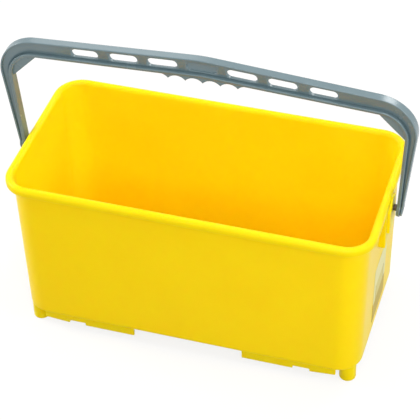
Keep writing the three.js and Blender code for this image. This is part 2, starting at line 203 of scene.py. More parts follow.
def roundedPath(corners, radii, steps=6, support=0.35):
    # closed outline: each corner becomes an arc of its radius, with a point held close before and
    # after it
    corners = np.array(corners, float)
    radii = np.broadcast_to(np.array(radii, float), len(corners))
    before = np.roll(corners, 1, axis=0) - corners
    after = np.roll(corners, -1, axis=0) - corners
    before /= np.linalg.norm(before, axis=1)[:, None]
    after /= np.linalg.norm(after, axis=1)[:, None]
    half = np.arccos(np.clip((before * after).sum(1), -1, 1)) / 2
    setback = radii / np.tan(half)
    bisector = (before + after) / np.linalg.norm(before + after, axis=1)[:, None]
    centre = corners + bisector * (radii / np.sin(half))[:, None]
    first = corners + before * setback[:, None] - centre
    last = corners + after * setback[:, None] - centre
    turn = np.pi - 2 * half
    side = np.sign(before[:, 0] * after[:, 1] - before[:, 1] * after[:, 0])
    share = np.linspace(0, 1, steps + 1)
    angle = -side[:, None] * turn[:, None] * share
    arcX = centre[:, 0:1] + first[:, 0:1] * np.cos(angle) - first[:, 1:2] * np.sin(angle)
    arcY = centre[:, 1:2] + first[:, 0:1] * np.sin(angle) + first[:, 1:2] * np.cos(angle)
    arcs = np.stack([arcX, arcY], axis=-1)
    held = np.stack([centre + first + before * support, centre + last + after * support], axis=1)
    path = np.concatenate([held[:, :1], arcs, held[:, 1:]], axis=1).reshape(-1, 2)
    return path


def outwardNormals(path):  # unit normals of a closed outline that runs anticlockwise
    along = np.roll(path, -1, axis=0) - np.roll(path, 1, axis=0)
    along /= np.linalg.norm(along, axis=1)[:, None]
    return np.stack([along[:, 1], -along[:, 0]], axis=1)


def roundedSlab(path, low, high, edge, steps=4):
    # plate between two levels; its outline shrinks along a quarter circle at both faces
    normals = outwardNormals(path)
    angle = np.linspace(0, np.pi / 2, steps + 1)
    inset = edge * (1 - np.sin(angle))
    rise = edge * (1 - np.cos(angle))
    insets = np.concatenate([[inset[0] + edge], inset, inset[::-1], [inset[0] + edge]])
    levels = np.concatenate([[low], low + rise, high - rise[::-1], [high]])
    flat = path[None] - normals[None] * insets[:, None, None]
    level = np.broadcast_to(levels[:, None, None], flat.shape[:2] + (1,))
    return np.concatenate([flat, level], axis=2)


# yellow bucket, one polypropylene moulding

bucketFinish = {
    "pigment": "#FFDB10",
    "deepPigment": "#FDD80C",
    "roughness": 0.33,
    "specular": 0.09,
    "grain": 1.3,
    "grainHeight": 0.02,
    "cloud": 90.0,
    "scatter": 1.0,
    "scatterReach": (3.3, 2.7, 0.3),
}


def mouldedYellowPolypropylene(look):
    # injection moulded polypropylene, masterbatch yellow: even colour, satin shine with a faint
    # spark-eroded grain, and soft clouds where the melt cooled at different speeds
    material, tree = newMaterial("mouldedYellowPolypropylene")
    place = addNode(tree, "ShaderNodeTexCoord").outputs["Object"]
    cloud = noiseAt(tree, place, look["cloud"], 3.0)
    tint = setRamp(addNode(tree, "ShaderNodeValToRGB", links={"Fac": cloud}), [
        (0.30, toLinear(look["deepPigment"])), (0.62, toLinear(look["pigment"]))])
    gloss = glossFrom(tree, cloud, look["roughness"], 0.04, 0.05)
    relief = reliefFrom(tree, noiseAt(tree, place, look["grain"], 2.0), 0.35, look["grainHeight"])
    surface = addNode(tree, "ShaderNodeBsdfPrincipled", {
        "IOR": 1.49, "Specular IOR Level": look["specular"], "Subsurface Weight": look["scatter"],
        "Subsurface Radius": look["scatterReach"], "Subsurface Scale": millimetre,
    }, {"Base Color": tint.outputs["Color"], "Roughness": gloss, "Normal": relief})
    addNode(tree, "ShaderNodeOutputMaterial", links={"Surface": surface.outputs["BSDF"]})
    return material


tub = {
    "rimLength": 540.0, "rimWidth": 271.0, "height": 274.0, "roll": 12.0,
    "rimCorner": 42.0, "wallCorner": 38.5, "baseCorner": 36.5,
    "wall": 2.8, "lip": 2.6, "lipSkirt": 6.0, "endDraft": 4.6, "sideDraft": 0.6,
    "floor": 27.0, "floorThickness": 3.0, "outerEdge": 4.0, "innerEdge": 9.0,
    "bow": 0.8, "cornerSteps": 14, "sideSteps": 36, "endSteps": 14,
}


def ringColumns(settings):
    # each column of the tub: where it stands between corner centres (-1 to 1) and the way it faces
    cornerAngle = np.linspace(0, np.pi / 2, settings["cornerSteps"] + 1)
    long = np.linspace(1, -1, settings["sideSteps"] + 1)[1:-1]
    short = np.linspace(1, -1, settings["endSteps"] + 1)[1:-1]
    ones = np.ones_like
    parts = [
        (ones(cornerAngle), ones(cornerAngle), cornerAngle),
        (long, ones(long), np.full(len(long), np.pi / 2)),
        (-ones(cornerAngle), ones(cornerAngle), cornerAngle + np.pi / 2),
        (-ones(short), short, np.full(len(short), np.pi)),
        (-ones(cornerAngle), -ones(cornerAngle), cornerAngle + np.pi),
        (-long, -ones(long), np.full(len(long), 1.5 * np.pi)),
        (ones(cornerAngle), -ones(cornerAngle), cornerAngle + 1.5 * np.pi),
        (ones(short), -short, np.full(len(short), 2 * np.pi)),
    ]
    return [np.concatenate(group)[None] for group in zip(*parts)]


def tubSurface(settings):
    # rows climb the outside, roll over the rim and go down the inside; each row is a rectangle with
    # round corners, and the long walls bow out between floor and rim by a sine times a parabola
    rollRadius = settings["roll"] / 2
    rollCentre = settings["height"] - rollRadius
    wallInset = settings["roll"] - settings["wall"]
    lipEnd = rollCentre - settings["lipSkirt"]
    quarter = np.linspace(0, np.pi / 2, 6)
    floor, floorTop = settings["floor"], settings["floor"] + settings["floorThickness"]
    deep = settings["baseCorner"] - 6.0
    climb = np.linspace(floor + settings["outerEdge"] + 1, lipEnd, 12)
    outer = [(floor, deep), (floor, settings["outerEdge"] + 1.0)]
    outer += list(zip(floor + settings["outerEdge"] * (1 - np.cos(quarter)),
                      settings["outerEdge"] * (1 - np.sin(quarter))))
    outer += [(z, 0.0) for z in climb]
    inner = [(z, settings["wall"]) for z in climb[::-1] if z > floorTop + settings["innerEdge"] + 1]
    inner += [(floorTop + settings["innerEdge"] + 0.6, settings["wall"])]
    inner += list(zip(floorTop + settings["innerEdge"] * (1 - np.cos(quarter[::-1])),
                      settings["wall"] + settings["innerEdge"] * (1 - np.sin(quarter[::-1]))))
    inner += [(floorTop, settings["wall"] + settings["innerEdge"] + 1.0), (floorTop, deep)]
    hollow = (wallInset - settings["lip"]) / 2
    half = np.linspace(0, np.pi, 13)
    rim = list(zip(rollCentre + hollow * np.sin(half),
                   settings["lip"] + hollow + hollow * np.cos(half)))
    edge = settings["lip"] / 2
    lipTurn = np.linspace(0, np.pi, 9)
    rim += [(lipEnd + edge + 0.5, settings["lip"])]
    rim += list(zip(lipEnd + edge - edge * np.sin(lipTurn), edge + edge * np.cos(lipTurn)))
    rim += [(lipEnd + edge + 0.5, 0.0)]
    rim += list(zip(rollCentre + rollRadius * np.sin(half), rollRadius - rollRadius * np.cos(half)))

    def wallRows(rows):
        z, inset = np.array(rows).T
        share = (z - floor) / (rollCentre - floor)
        halfX = settings["rimLength"] / 2 - wallInset - settings["endDraft"] * (1 - share) - inset
        halfY = settings["rimWidth"] / 2 - wallInset - settings["sideDraft"] * (1 - share) - inset
        widening = settings["wallCorner"] - settings["baseCorner"]
        radius = settings["baseCorner"] + widening * share - inset
        return np.stack([halfX, halfY, radius, z])

    def rimRows(rows):
        z, inset = np.array(rows).T
        return np.stack([settings["rimLength"] / 2 - inset, settings["rimWidth"] / 2 - inset,
                         settings["rimCorner"] - inset, z])

    table = np.concatenate([wallRows(outer), rimRows(rim), wallRows(inner)], axis=1)
    halfX, halfY, radius, z = (row[:, None] for row in table)
    bowStart, bowEnd = floor + settings["innerEdge"], lipEnd - 4
    climbed = np.clip((z - bowStart) / (bowEnd - bowStart), 0, 1)
    bow = settings["bow"] * np.sin(np.pi * climbed)
    cx, cy, angle = ringColumns(settings)
    x = cx * (halfX - radius) + radius * np.cos(angle)
    y = cy * (halfY - radius) + radius * np.sin(angle) + bow * np.sign(cy) * (1 - cx ** 2)
    return gridSurface(np.stack([x, y, np.broadcast_to(z, x.shape)], axis=-1))


foot = {"radius": 12.3, "edge": 2.5, "x": 238.3, "y": 104.5, "dimple": 0.8, "dimpleRadius": 6.0}


def footSurface(settings, top, signX, signY):
    # profile turned about a vertical line: post, round lower edge, and a shallow dimple where the
    # mould's pin stood
    quarter = np.linspace(0, np.pi / 2, 6)
    radius, edge = settings["radius"], settings["edge"]
    dimple = settings["dimpleRadius"]
    r = np.concatenate([[0.5, dimple - 1, dimple, radius - edge - 0.6],
                        radius - edge * (1 - np.sin(quarter)), [radius, radius]])
    z = np.concatenate([[settings["dimple"], settings["dimple"], 0, 0],
                        edge * (1 - np.cos(quarter)), [edge + 0.5, top]])
    turn = np.linspace(0, 2 * np.pi, 48, endpoint=False)[None]
    x = signX * settings["x"] + r[:, None] * np.cos(turn)
    y = signY * settings["y"] + r[:, None] * np.sin(turn)
    return gridSurface(np.stack([x, y, np.broadcast_to(z[:, None], x.shape)], axis=-1))


rail = {
    "start": 83.3, "notch": 160.0, "notchWidth": 25.6, "notchHeight": 4.9, "notchDraft": 0.3,
    "end": 224.0, "endRise": 3.2, "lift": 12.8, "outside": 123.3, "thickness": 3.0,
    "corner": 0.9, "edge": 0.7,
}


def railSurface(settings, top, signX, signY):
    # upright plate: a thin section with a round lower edge, carried along X at the height of the
    # rail's outline
    cornerSteps = 4
    lift, notch, width = settings["lift"], settings["notch"], settings["notchWidth"]
    high, draft = lift + settings["notchHeight"], settings["notchDraft"]
    path = roundedPath([
        (settings["start"], top), (settings["start"], lift), (notch, lift), (notch + draft, high),
        (notch + width - draft, high), (notch + width, lift),
        (settings["end"], lift + settings["endRise"]), (settings["end"], top)],
        settings["corner"], cornerSteps)
    perCorner = cornerSteps + 3  # an arc and the two points held beside it
    along, low = path[perCorner + 1:-perCorner - 1].T[..., None]
    quarter = np.linspace(0, np.pi / 2, 5)
    edge, thickness = settings["edge"], settings["thickness"]
    toEdge, fromEdge = edge * (1 - np.cos(quarter)), edge * (1 - np.sin(quarter))
    y = np.concatenate([[0], toEdge, thickness - fromEdge, [thickness]])
    rise = np.concatenate([[0], fromEdge, toEdge, [0]])
    z = low + rise
    z[:, [0, -1]] = top
    points = np.stack([np.broadcast_to(signX * along, z.shape),
                       np.broadcast_to(signY * (settings["outside"] - y), z.shape), z], axis=-1)
    if signX * signY > 0:
        points = points[:, ::-1]
    return gridSurface(points)


ear = {
    "pivot": 246.5, "root": 258.0,
    "wideFace": 268.2, "wideHalf": 28.0, "wideBottom": 190.4, "wideTop": 266.0,
    "face": 271.9, "half": 20.0, "bottom": 213.0, "corner": 2.5, "edge": 1.3,
    "bore": 4.9, "boreEdge": 0.6, "boreEnd": 259.9, "shell": 3.0, "roomTop": 236.5,
}


def earSurface(settings, sign):
    # rows run from the wall over the wide pad, up the arched pad, and down into the pin's bore;
    # every row is a distance from the pivot as a function of the angle round it
    angle = np.linspace(0, 2 * np.pi, 240, endpoint=False)
    pivot = settings["pivot"]

    def reach(path):
        polar = path - np.array([0, pivot])
        around = np.mod(np.arctan2(polar[:, 1], polar[:, 0]), 2 * np.pi)
        order = np.argsort(around)
        distance = np.hypot(polar[:, 0], polar[:, 1])
        return np.interp(angle, around[order], distance[order], period=2 * np.pi)

    def dense(path):  # fills straight stretches so that the polar reach follows them
        step = np.linspace(0, 1, 12, endpoint=False)[None, :, None]
        return (path[:, None] + (np.roll(path, -1, axis=0) - path)[:, None] * step).reshape(-1, 2)

    wide, half = settings["wideHalf"], settings["half"]
    widePath = roundedPath([(-wide, settings["wideBottom"]), (wide, settings["wideBottom"]),
                            (wide, settings["wideTop"]), (-wide, settings["wideTop"])],
                           settings["corner"])
    arch = np.linspace(0, np.pi, 60)
    archPath = np.concatenate([
        [(-half, settings["bottom"]), (half, settings["bottom"])],
        np.stack([half * np.cos(arch), pivot + half * np.sin(arch)], axis=1)])
    wideReach, archReach = reach(dense(widePath)), reach(dense(archPath))
    quarter = np.linspace(0, np.pi / 2, 5)
    edge, face, wideFace = settings["edge"], settings["face"], settings["wideFace"]
    rows = [(wideReach, settings["root"]), (wideReach, wideFace - edge - 0.5)]
    shrinks = list(zip(edge * (1 - np.cos(quarter)), edge * (1 - np.sin(quarter))))
    rows += [(wideReach - inset, wideFace - back) for inset, back in shrinks]
    rows += [(archReach + 0.6, wideFace), (archReach, wideFace + 0.6), (archReach, face - edge - 0.5)]
    rows += [(archReach - inset, face - back) for inset, back in shrinks]
    boreMouth = np.full(len(angle), settings["bore"] + settings["boreEdge"])
    bore = np.full(len(angle), settings["bore"])
    rows += [(boreMouth + 0.6, face), (boreMouth, face)]
    rows += [(bore, face - settings["boreEdge"]), (bore, settings["boreEnd"])]
    reachRows = np.stack([row[0] for row in rows])
    x = np.array([row[1] for row in rows])[:, None]
    points = np.stack([np.broadcast_to(sign * x, reachRows.shape), sign * reachRows * np.cos(angle),
                       pivot + reachRows * np.sin(angle)], axis=-1)
    return gridSurface(points)


def earRoomSurface(settings, sign):
    # the hollow behind the wide pad, open from below, with rounded inner corners
    half = settings["wideHalf"] - settings["shell"]
    path = roundedPath([(-half, settings["wideBottom"] - 6), (half, settings["wideBottom"] - 6),
                        (half, settings["roomTop"]), (-half, settings["roomTop"])], 2.0)
    slab = roundedSlab(path, settings["root"] - 6, settings["wideFace"] - settings["shell"],
                       settings["edge"])
    return gridSurface(np.stack([sign * slab[..., 2], sign * slab[..., 0], slab[..., 1]], axis=-1))


yellowPlastic = mouldedYellowPolypropylene(bucketFinish)
footTop = tub["floor"] + tub["floorThickness"] / 2
signPairs = [(1, 1), (-1, 1), (-1, -1), (1, -1)]
ears = []
for earSign in (1, -1):
    earPiece = meshObject("ear", [earSurface(ear, earSign)], yellowPlastic)
    combine(earPiece, [earRoomSurface(ear, earSign)], "DIFFERENCE")
    ears.append(surfaceOf(earPiece))
bucket = meshObject("bucketMoulding", [tubSurface(tub)], yellowPlastic)
combine(bucket, ears + [footSurface(foot, footTop, *signs) for signs in signPairs]
        + [railSurface(rail, footTop, *signs) for signs in signPairs], "UNION")
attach(bucket, bucketBody)
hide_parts("bucket_body")
print("bucket made")


# grey bail handle, one polypropylene moulding

handleFinish = {
    "pigment": "#657A80",
    "deepPigment": "#61767C",
    "roughness": 0.25,
    "specular": 0.8,
    "grain": 0.9,
    "grainHeight": 0.015,
    "cloud": 40.0,
}


def mouldedGreyPolypropylene(look):
    # injection moulded polypropylene in blue grey: satin, with a faint grain and a slight sheen in
    # clouds
    material, tree = newMaterial("mouldedGreyPolypropylene")
    place = addNode(tree, "ShaderNodeTexCoord").outputs["Object"]
    cloud = noiseAt(tree, place, look["cloud"], 4.0)
    tint = setRamp(addNode(tree, "ShaderNodeValToRGB", links={"Fac": cloud}), [
        (0.35, toLinear(look["deepPigment"])), (0.65, toLinear(look["pigment"]))])
    gloss = glossFrom(tree, cloud, look["roughness"], 0.02, 0.03)
    relief = reliefFrom(tree, noiseAt(tree, place, look["grain"], 2.0), 0.4, look["grainHeight"])
    surface = addNode(tree, "ShaderNodeBsdfPrincipled", {
        "IOR": 1.49, "Specular IOR Level": look["specular"],
    }, {"Base Color": tint.outputs["Color"], "Roughness": gloss, "Normal": relief})
    addNode(tree, "ShaderNodeOutputMaterial", links={"Surface": surface.outputs["BSDF"]})
    return material


bail = {
    "pivot": 246.5, "lean": 2.5,
    "crest": 212.6, "crestSlope": 3.8, "crestHalf": 16.0, "outerCorner": 58.0,
    "armOuter": 286.2, "armOuterSplay": 5.8,
    "grip": 181.2, "gripSlope": 2.87, "innerCorner": 38.0, "armInner": 277.4, "armInnerSplay": 2.7,
    "hubX": 245.0, "hubS": 130.0,
    "outerFlange": 2.6, "innerFlange": 5.5, "web": 5.0, "shoulderWeb": 6.6, "armWeb": 8.8,
    "barDepth": 12.5, "shoulderDepth": 15.5, "armDepth": 17.0,
    "outerEye": 10.8, "innerEye": 12.2, "boss": 8.0,
    "outerEdge": 0.9, "innerEdge": 1.1, "innerStep": 0.7, "innerStepPlace": 0.45, "webFillet": 1.2,
    "groove": 2.6, "grooveDepth": 1.3,
}


def edgeCurve(crest, slope, reach, splay, radius, crestHalf):
    # right half of a handle edge as a dense line: sloping bar, round corner, splayed arm
    slope, splay = math.radians(slope), math.radians(splay)
    tanSlope, tanSplay = math.tan(slope), math.tan(splay)
    cornerS = (crest - reach * tanSlope) / (1 + tanSlope * tanSplay)
    corner = np.array([reach + cornerS * tanSplay, cornerS])
    turn = math.pi / 2 - slope + splay
    setback = radius * math.tan(turn / 2)
    barEnd = corner + setback * np.array([-math.cos(slope), math.sin(slope)])
    centre = barEnd - radius * np.array([math.sin(slope), math.cos(slope)])
    angle = math.pi / 2 - slope - turn * np.linspace(0, 1, 120)
    arc = centre + radius * np.stack([np.cos(angle), np.sin(angle)], axis=1)
    barX = np.linspace(0, barEnd[0], 400, endpoint=False)
    soft = np.where(barX < crestHalf, crestHalf / 2 + barX ** 2 / (2 * max(crestHalf, 1e-9)), barX)
    bar = np.stack([barX, crest - soft * tanSlope], axis=1)
    armS = np.linspace(arc[-1, 1], -20, 200)[1:]
    arm = np.stack([reach + armS * tanSplay, armS], axis=1)
    return np.concatenate([bar, arc, arm])


def handleStations(settings):
    # pairs of points across the handle: upright over the bar, fanned about a hub in the corner,
    # level on the arm
    outer = edgeCurve(settings["crest"], settings["crestSlope"], settings["armOuter"],
                      settings["armOuterSplay"], settings["outerCorner"], settings["crestHalf"])
    inner = edgeCurve(settings["grip"], settings["gripSlope"], settings["armInner"],
                      settings["armInnerSplay"], settings["innerCorner"], 0.0)
    hub = np.array([settings["hubX"], settings["hubS"]])
    barX = np.concatenate([np.linspace(0, 20, 11), np.linspace(20, hub[0], 60)[1:]])
    fan = np.linspace(math.pi / 2, 0, 40)[1:-1]
    armS = np.linspace(hub[1], 16, 40)

    def across(curve):
        polar = curve - hub
        around, reach = np.arctan2(polar[:, 1], polar[:, 0]), np.hypot(polar[:, 0], polar[:, 1])
        near = (around > -0.3) & (around < math.pi / 2 + 0.3) & (curve[:, 0] > hub[0] - 40)
        order = np.argsort(around[near])
        radius = np.interp(fan, around[near][order], reach[near][order])
        bar = np.stack([barX, np.interp(barX, curve[:, 0], curve[:, 1])], axis=1)
        corner = hub + radius[:, None] * np.stack([np.cos(fan), np.sin(fan)], axis=1)
        down = curve[curve[:, 1] < hub[1] + 10][::-1]
        arm = np.stack([np.interp(armS, down[:, 1], down[:, 0]), armS], axis=1)
        return np.concatenate([bar, corner, arm]), down

    (outerLine, outerDown), (innerLine, innerDown) = across(outer), across(inner)
    return outerLine, innerLine, outerDown, innerDown


def eyeStations(eye, outerDown, innerDown):
    # the end of an arm, down to the lowest point of its round eye
    sink = -eye * np.sin(np.linspace(0, math.radians(84), 22))
    levels = np.concatenate([np.linspace(15, 0.6, 22), sink])
    outer = np.stack([np.interp(levels, outerDown[:, 1], outerDown[:, 0]), levels], axis=1)
    inner = np.stack([np.interp(levels, innerDown[:, 1], innerDown[:, 0]), levels], axis=1)
    return outer, inner


def toRow(points, settings):
    # (x, height in the handle's plane, distance to the front of it) to the row's frame
    lean = math.radians(settings["lean"])
    x, s, n = points[..., 0], points[..., 1], points[..., 2]
    return np.stack([x, -s * math.sin(lean) - n * math.cos(lean),
                     settings["pivot"] + s * math.cos(lean) - n * math.sin(lean)], axis=-1)


def halfDepth(levels, halves, eye, s):
    # half the depth at a height above the pivot; it swells to a round eye at the pivot
    swell = np.sqrt(np.clip(eye ** 2 - s ** 2, 0, None))
    return np.where(s < 0, swell, np.maximum(np.interp(s, levels, halves), swell))


def sweptPart(settings, eye, levels, halves, section):
    # carries a closed section along both halves; section gives distance across and depth for
    # every station
    outerLine, innerLine, outerDown, innerDown = handleStations(settings)
    outerEnd, innerEnd = eyeStations(eye, outerDown, innerDown)
    outer, inner = np.concatenate([outerLine, outerEnd]), np.concatenate([innerLine, innerEnd])
    width = np.linalg.norm(inner - outer, axis=1)
    toward = (inner - outer) / width[:, None]
    across, depth = section(width, halfDepth(levels, halves, eye, (outer[:, 1] + inner[:, 1]) / 2))
    flat = outer[:, None] + toward[:, None] * across[..., None]
    right = np.concatenate([flat, depth[..., None]], axis=2)
    left = right[:0:-1] * np.array([-1, 1, 1])
    return gridSurface(toRow(np.concatenate([left, right]), settings))


def outerFlangeSection(settings):
    # thin rounded rectangle as deep as the handle, from the outer edge inwards
    phi = np.linspace(0, np.pi / 2, 5)
    rise, run = 1 - np.sin(phi), 1 - np.cos(phi)
    t, e = settings["outerFlange"], settings["outerEdge"]
    a = np.concatenate([[0], e * run, t - e * rise, [t], [t], t - e * run, e * rise, [0]])
    drop = np.concatenate([[e + 0.5], e * rise, e * run, [e + 0.5]])
    drop = np.concatenate([drop, drop])
    side = np.repeat([1, -1], len(a) // 2)

    def section(width, half):
        half = np.maximum(half, e + 0.6)[:, None]
        return np.broadcast_to(a, (len(width), len(a))), side * (half - drop)

    return section


def innerFlangeSection(settings):
    # bead along the inner edge: rounded, with a step half way so that it catches the light twice
    phi = np.linspace(0, np.pi / 2, 5)
    rise, run = 1 - np.sin(phi), 1 - np.cos(phi)
    t, e, step = settings["innerFlange"], settings["innerEdge"], settings["innerStep"]
    middle = t * settings["innerStepPlace"]
    slope = np.linspace(0, 1, 5)
    ease = slope ** 2 * (3 - 2 * slope)
    a = np.concatenate([[0], e * run, middle + 0.8 * slope, t - e * rise, [t]])
    drop = np.concatenate([[e + 0.5], e * rise, step * ease, step + e * run, [step + e + 0.5]])
    side = np.repeat([1, -1], len(a))
    a, drop = np.concatenate([a, a[::-1]]), np.concatenate([drop, drop[::-1]])

    def section(width, half):
        half = np.maximum(half, step + e + 0.6)[:, None]
        return width[:, None] - t + a, side * (half - drop)

    return section


def webSection(settings):
    # plate between the flanges: a hollow fillet to the outer one, a groove beside the inner one,
    # and its ends sunk into both
    phi = np.linspace(np.pi / 2, 0, 5)
    ease = np.linspace(0, 1, 5)
    sink = 1.0

    def section(width, half):
        start = np.full(len(width), settings["outerFlange"])
        end = width - settings["innerFlange"]
        fillet = np.minimum(settings["webFillet"], (end - start) * 0.45)[:, None]
        start, end, half = start[:, None], end[:, None], half[:, None]
        near, lift = fillet * (1 - np.sin(phi)), fillet * (1 - np.cos(phi))
        span = np.minimum(settings["groove"], (end - start) * 0.4) * (1 - ease)
        sunk = np.minimum(settings["grooveDepth"], half * 0.45) * ease
        a = np.concatenate([start - sink, start + near, end - span, end + sink], axis=1)
        n = np.concatenate([half + fillet, half + lift, half - sunk, half - sunk[:, -1:]], axis=1)
        return np.concatenate([a, a[:, ::-1]], axis=1), np.concatenate([n, -n[:, ::-1]], axis=1)

    return section


def barSlope(settings):
    return math.radians((settings["crestSlope"] + settings["gripSlope"]) / 2)


slots = {
    "pitch": 56.7, "length": 43.3, "shorter": 2.0, "height": 13.6, "rise": 0.5, "edge": 0.8,
    "pocket": 2.1, "pocketEdge": 0.6, "clear": 2.0,
}


def slotSurface(settings, handle, centreX, length, n, grow):
    # rounded slot outline, grown a little at each depth n so that the cut leaves round edges
    radius = settings["height"] / 2
    turn = np.linspace(-np.pi / 2, np.pi / 2, 13)
    reach = length / 2 - radius
    centres = np.concatenate([np.full(13, reach), np.full(13, -reach)])
    angle = np.concatenate([turn, turn + np.pi])
    across = centres + (radius + grow[:, None]) * np.cos(angle)
    up = (radius + grow[:, None]) * np.sin(angle)
    tilt = -np.sign(centreX) * barSlope(handle)
    middle = (handle["crest"] + handle["grip"]) / 2 + settings["rise"]
    middle -= abs(centreX) * math.tan(barSlope(handle))
    x = centreX + across * math.cos(tilt) - up * math.sin(tilt)
    s = middle + across * math.sin(tilt) + up * math.cos(tilt)
    return gridSurface(toRow(np.stack([x, s, np.broadcast_to(n[:, None], x.shape)], axis=-1), handle))


def slotCutters(settings, handle):  # six slots right through the web and a pocket in each face
    quarter = np.linspace(0, np.pi / 2, 5)
    face, edge, clear = handle["web"] / 2, settings["edge"], settings["clear"]
    flare = edge * (1 - np.cos(quarter))
    deep = edge * (1 - np.sin(quarter))
    n = np.concatenate([[-face - clear], -face + deep[::-1], face - deep, [face + clear]])
    grow = np.concatenate([[edge], flare[::-1], flare, [edge]])
    cutters = []
    for i, side in ((i, side) for i in (1, 2, 3) for side in (1, -1)):
        length = settings["length"] - settings["shorter"] * (i - 1)
        cutters.append(slotSurface(settings, handle, side * settings["pitch"] * i, length, n, grow))
    floor, inner = face - settings["pocket"], settings["pocketEdge"]
    pocketN = np.concatenate([floor + inner * (1 - np.cos(quarter)), face - deep, [face + clear]])
    pocketGrow = np.concatenate([-inner * (1 - np.sin(quarter)), flare, [edge]])
    for side in (1, -1):
        order = slice(None, None, side)
        cutters.append(slotSurface(settings, handle, 0.0, settings["length"], (side * pocketN)[order],
                                   pocketGrow[order]))
    return cutters


grip = {"pitch": 25.0, "depth": 6.3, "drop": 12.0, "half": 1.8, "edge": 0.9, "runOut": 70.0}


def gripSurface(settings, handle):
    # rib under the bar: its lower edge is a row of circular arcs that meet in points, then runs out
    # to the sides
    radius = (settings["pitch"] ** 2 / 4 + settings["depth"] ** 2) / (2 * settings["depth"])
    half = settings["pitch"] / 2
    arc = np.linspace(-half, half, 17)
    crest = handle["grip"] - settings["drop"] + settings["depth"]
    centres = np.arange(-1.5, 2) * settings["pitch"]
    x = (centres[:, None] + arc[:-1]).ravel()
    s = np.tile(crest - radius + np.sqrt(radius ** 2 - arc[:-1] ** 2), len(centres))
    last = 2.5 * settings["pitch"]
    endX = np.concatenate([arc[:9] + last, np.linspace(last + 1, settings["runOut"], 8)])
    endS = np.where(endX < last + 0.5,
                    crest - radius + np.sqrt(radius ** 2 - np.clip(endX - last, -half, half) ** 2),
                    crest + 0.05 * (endX - last) ** 2)
    x = np.concatenate([-endX[:0:-1], x, endX])[:, None]
    s = np.concatenate([endS[:0:-1], s, endS])[:, None]
    phi = np.linspace(0, np.pi / 2, 5)
    run, e, thick = 1 - np.cos(phi), settings["edge"], settings["half"]
    lift = np.concatenate([[e + 0.5], e * (1 - np.sin(phi)), e * (1 - np.sin(phi))[::-1], [e + 0.5]])
    n = np.concatenate([[thick], thick - e * run, -(thick - e * run)[::-1], [-thick]])
    root = handle["grip"] + handle["innerFlange"] / 2
    root = root - np.abs(x) * math.tan(math.radians(handle["gripSlope"]))
    height = np.concatenate([root, s + lift, root], axis=1)
    depth = np.concatenate([[thick], n, [-thick]])
    shape = height.shape
    points = np.stack([np.broadcast_to(x, shape), height, np.broadcast_to(depth, shape)], axis=-1)
    return gridSurface(toRow(points, handle))


gusset = {"barEnd": 243.4, "armEnd": 127.6, "half": 1.8, "edge": 0.7, "root": 2.0}


def gussetSurface(settings, handle, side):
    # flat plate that fills the corner between the bar and an arm, its free edge straight
    innerLine = handleStations(handle)[1]
    near = (innerLine[:, 0] > settings["barEnd"]) & (innerLine[:, 1] > settings["armEnd"])
    line = innerLine[near][::-1]
    along = np.gradient(line, axis=0)
    along /= np.linalg.norm(along, axis=1)[:, None]
    sunk = line + settings["root"] * np.stack([along[:, 1], -along[:, 0]], axis=1)
    down = innerLine[::-1]
    barEnd, armEnd = settings["barEnd"], settings["armEnd"]
    barPoint = np.array([barEnd, np.interp(barEnd, innerLine[:, 0], innerLine[:, 1])])
    armPoint = np.array([np.interp(armEnd, down[:, 1], down[:, 0]), armEnd])
    free = armPoint - barPoint
    beyond = 1.4 * settings["root"] * free / np.linalg.norm(free)
    path = np.concatenate([[barPoint + free * 0.5, barPoint + free * 0.98, armPoint + beyond], sunk,
                           [barPoint - beyond, barPoint + free * 0.02]])
    points = roundedSlab(path, -settings["half"], settings["half"], settings["edge"])
    if side < 0:
        points = points[:, ::-1] * np.array([-1, 1, 1])
    return gridSurface(toRow(points, handle))


pin = {
    "radius": 4.8, "headRadius": 6.4, "headThickness": 2.0, "sink": 0.9, "edge": 0.7,
    "tip": 260.4, "outside": 286.2, "clearance": 0.3, "boreStart": 270.0, "boreStop": 292.0,
}


def roundBar(rows, pivot, side, sides=64):
    # profile of (place along X, radius) turned about the pivot axis
    x, radius = np.array(rows)[:, :, None].transpose(1, 0, 2)
    turn = np.linspace(0, 2 * np.pi, sides, endpoint=False)
    points = np.stack([np.broadcast_to(side * x, (len(x), sides)), side * radius * np.cos(turn),
                       pivot + radius * np.sin(turn)], axis=-1)
    return gridSurface(points)


def pinSurface(settings, pivot, side):
    # rows run from the tip in the ear along the shank to the wide head, which has a shallow dimple
    headEnd = settings["outside"] - settings["sink"]
    headStart, edge = headEnd - settings["headThickness"], settings["edge"]
    radius, head = settings["radius"], settings["headRadius"]
    quarter = np.linspace(0, np.pi / 2, 5)
    rows = [(settings["tip"], 1.0), (settings["tip"], radius - edge - 0.3)]
    rows += [(settings["tip"] + edge * (1 - math.cos(a)), radius - edge * (1 - math.sin(a)))
             for a in quarter]
    rows += [(headStart - 0.2, radius), (headStart, radius + 0.2)]
    rows += [(headStart, head - 0.2), (headStart + 0.2, head)]
    rows += [(headEnd - edge * (1 - math.sin(a)), head - edge * (1 - math.cos(a))) for a in quarter]
    rows += [(headEnd, 2.2), (headEnd - 0.5, 1.8), (headEnd - 0.5, 0.5)]
    return roundBar(rows, pivot, side)


